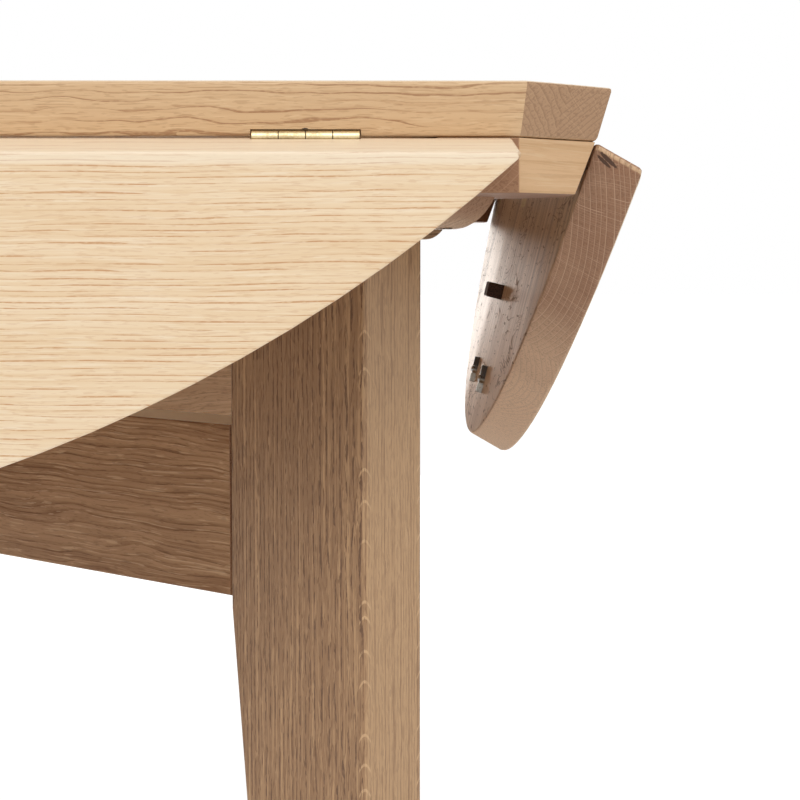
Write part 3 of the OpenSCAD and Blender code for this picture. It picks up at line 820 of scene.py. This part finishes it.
railLook = {
    "light": (180, 141, 105), "dark": (140, 101, 69), "pore": (98, 64, 43), "ray": (206, 172, 136),
    # painted reflection: the rails' upper faces are painted paler
    "endTone": (150, 112, 86), "endLine": (180, 142, 114), "endSpeck": (110, 80, 60), "upperReflection": 1.0,
    "known": ((0, 0.03, 0.09),), "ripple": 0.002,
    "rowLength": 0.03, "rowStrength": 0.5, "dashLength": 0.06, "dashStrength": 0.35,
    "toneWidth": 0.016, "toneStrength": 1.8, "streakStrength": 0.4,
    "fleckLength": 0.04, "fleckWidth": 0.0012, "fleckAmount": 0.6, "fleckStrength": 0.6,
    "gloss": 0.15,
}
upperRailLook = dict(railLook, light=(226, 190, 153), dark=(195, 156, 120), rowStrength=0.2,
                     fleckStrength=0.3, toneStrength=1.0)
legFleck = {
    "half": 0.0225,                # half the leg's thickness
    "reach": 0.0036,               # how far the arches reach from the arris
    "full": 0.75,                  # share of that reach where they are at full strength
    "zone": (1.6, 1.3),            # where they fade in, in reaches from the arris
    "bend": 420.0,
    "pitch": 0.016,                # one arch at most in each
    "places": (0.2, 0.6),          # its first place there, and how far it may lie from it
    "line": 0.07,
    "lineCore": 0.5,
    "seeds": (5.5, 0.5),
    "rarity": 0.45,
    "strength": 0.75,
}


def middleOf(nodeName):
    points = [v.co for v in frame["nodes"][nodeName].data.vertices]
    low = Vector([min(p[k] for p in points) for k in range(3)])
    high = Vector([max(p[k] for p in points) for k in range(3)])
    return (low + high) / 2


def buildTop():
    softened("top_panel", 0, oak("oakTop", (1, 0, 0), (0, 1, 0), middleOf("top_panel"), seeds["top"],
                                 topLook))
    print("top built")


def buildLeaves():
    for index, side in enumerate(sides):
        outwards, along, upper = leafAxes(index)
        pin = pins[side + "_leaf_group"]
        if side in ("front", "back"):
            finish = oak(side + "LeafOak", along, outwards, pin, seeds["leaf"] + index, frontLeafLook)
        else:
            marks = rightMarks if side == "right" else ()
            look = dict(sideLeafLook, marks=marks)
            finish = oak(side + "LeafOak", outwards, along, pin, seeds["leaf"] + index, look)
        softened(side + "_leaf", 0, finish)
    print("leaves built")


def buildBase():
    for index, corner in enumerate(corners):
        turn = cornerTurn(index)
        out, over = turn @ Vector((1, 0, 0)), turn @ Vector((0, 1, 0))
        headName, legName = corner + "_head", corner + "_leg"
        headOak = oak(corner + "HeadOak", over, (0, 0, 1), middleOf(headName), seeds["head"] + index,
                      headLook)
        softened(headName, softening["head"], headOak)
        middle = middleOf(legName)
        middle = Vector((out.dot(middle) * out.x, out.dot(middle) * out.y, middle.z))
        outer = max(out.dot(v.co - middle) for v in frame["nodes"][legName].data.vertices)
        marks = dict(legFleck, out=out, over=over, outer=outer)
        legOak = oak(corner + "LegOak", (0, 0, 1), over, middle, seeds["leg"] + index, legLook, marks)
        softened(legName, 0, legOak)
    for index, name in enumerate(("upper", "lower")):
        along = cornerTurn(index) @ Vector((1, 0, 0))
        over = cornerTurn(index) @ Vector((0, 1, 0))
        armOak = oak(name + "ArmOak", along, over, middleOf(name + "_arm"), seeds["arm"] + index, armLook)
        softened(name + "_arm", 0, armOak)
        look = upperRailLook if name == "upper" else railLook
        railOak = oak(name + "RailOak", along, over, middleOf(name + "_rail"), seeds["rail"] + index, look)
        softened(name + "_rail", 0, railOak)
    print("base built")


def finishSmallPieces():
    brass = metal("satinBrass", brassLook)
    pinBrass = metal("dullAndShadedBrass", pinLook)
    steel = metal("zincSteel", steelLook)
    block = plain("darkHardwood", blockLook)
    glide = plain("feltGlide", glideLook)
    for index, side in enumerate(sides):
        for part in ("_leaf_plates", "_top_plates", "_leaf_screws"):
            paint(side + part, brass)
        # painted shade on the half of each clip nearer the hinge pins
        paintedShadeEnd = (pins[side + "_leaf_group"], leafAxes(index)[0], clipMiddle)
        paint(side + "_spring_clips", metal(side + "SpringSteel", springLook, paintedShadeEnd))
        paint(side + "_clip_screws", steel)
        softened(side + "_stop_block", softening["block"], block)
    for part in ("top_plate_screws", "pivot_sleeve"):
        paint(part, brass)
    # painted shade: the pins' dark brass stands for the shade in the gaps between the knuckles
    paint("hinge_pins", pinBrass)
    for part in ("head_screws", "pivot_bolt", "pivot_washer"):
        paint(part, steel)
    paint("foot_glides", glide)
    print("small pieces finished")


# Camera, floor and light

camera = {"place": (0.4396, -1.5636, 0.6563), "down": 4.11, "turn": 0.27, "lens": 92.5, "sensor": 36.0,
          "clip": (0.05, 60)}
lamps = {
    "key": {"place": (0.2, -3.2, 3.0), "aim": (0.3, -0.4, 0.5), "size": 2.2, "power": 50,
            "colour": (1.0, 1.0, 1.0)},
    "back": {"place": (0.2, 4.4, 0.9), "aim": (0.5, 0.0, 0.6), "size": 1.6, "power": 22,
             "colour": (1.0, 0.91, 0.82)},
}
room = {"ambient": 0.70, "floor": (232, 232, 232), "floorBounce": (231, 231, 231), "floorGlow": 0.5,
        "floorSize": 60.0, "floorDrop": 0.0005, "floorRoughness": 0.9}


def setCamera():
    data = bpy.data.cameras.new("camera")
    data.lens = camera["lens"]
    data.sensor_width = camera["sensor"]
    data.clip_start, data.clip_end = camera["clip"]
    holder = bpy.data.objects.new("camera", data)
    holder.location = camera["place"]
    holder.rotation_euler = (math.radians(90 - camera["down"]), 0, math.radians(-camera["turn"]))
    bpy.context.scene.collection.objects.link(holder)
    bpy.context.scene.camera = holder


def setLamps():
    for name, look in lamps.items():
        data = bpy.data.lights.new(name, "AREA")
        data.shape = "SQUARE"
        data.size = look["size"]
        data.energy = look["power"]
        data.color = look["colour"]
        holder = bpy.data.objects.new(name, data)
        holder.location = look["place"]
        aim = Vector(look["aim"]) - Vector(look["place"])
        holder.rotation_euler = aim.to_track_quat("-Z", "Y").to_euler()
        bpy.context.scene.collection.objects.link(holder)


def setRoom():
    sky = Finish("studio", world=True)
    strength = room["ambient"] + sky.seen() * (1 - room["ambient"])
    glow = sky.node("ShaderNodeBackground", {}, {"Color": (1, 1, 1, 1), "Strength": strength})
    sky.node("ShaderNodeOutputWorld", {}, {"Surface": glow})
    bpy.context.scene.world = sky.owner

    work = bmesh.new()
    bmesh.ops.create_grid(work, x_segments=1, y_segments=1, size=room["floorSize"] / 2)
    mesh = bpy.data.meshes.new("floor")
    work.to_mesh(mesh)
    work.free()
    floor = bpy.data.objects.new("floor", mesh)
    floor.location = (0, 0, -room["floorDrop"])
    bpy.context.scene.collection.objects.link(floor)
    shade = Finish("paleFloor")
    glow = room["floorGlow"]
    seen = shade.seen()
    mesh.materials.append(shade.surface({
        "Base Color": shade.mix(seen, shadeOf(*room["floorBounce"]), shadeOf(*room["floor"])),
        "Roughness": room["floorRoughness"],
        "Emission Color": shade.mix(seen, (0, 0, 0, 1), (glow, glow, glow, 1)),
        "Emission Strength": 1.0,
    }))


setCamera()
setRoom()
setLamps()
print("camera, room and lamps set")
buildTop()
buildLeaves()
buildBase()
finishSmallPieces()

bpy.context.scene.view_settings.view_transform = "Standard"
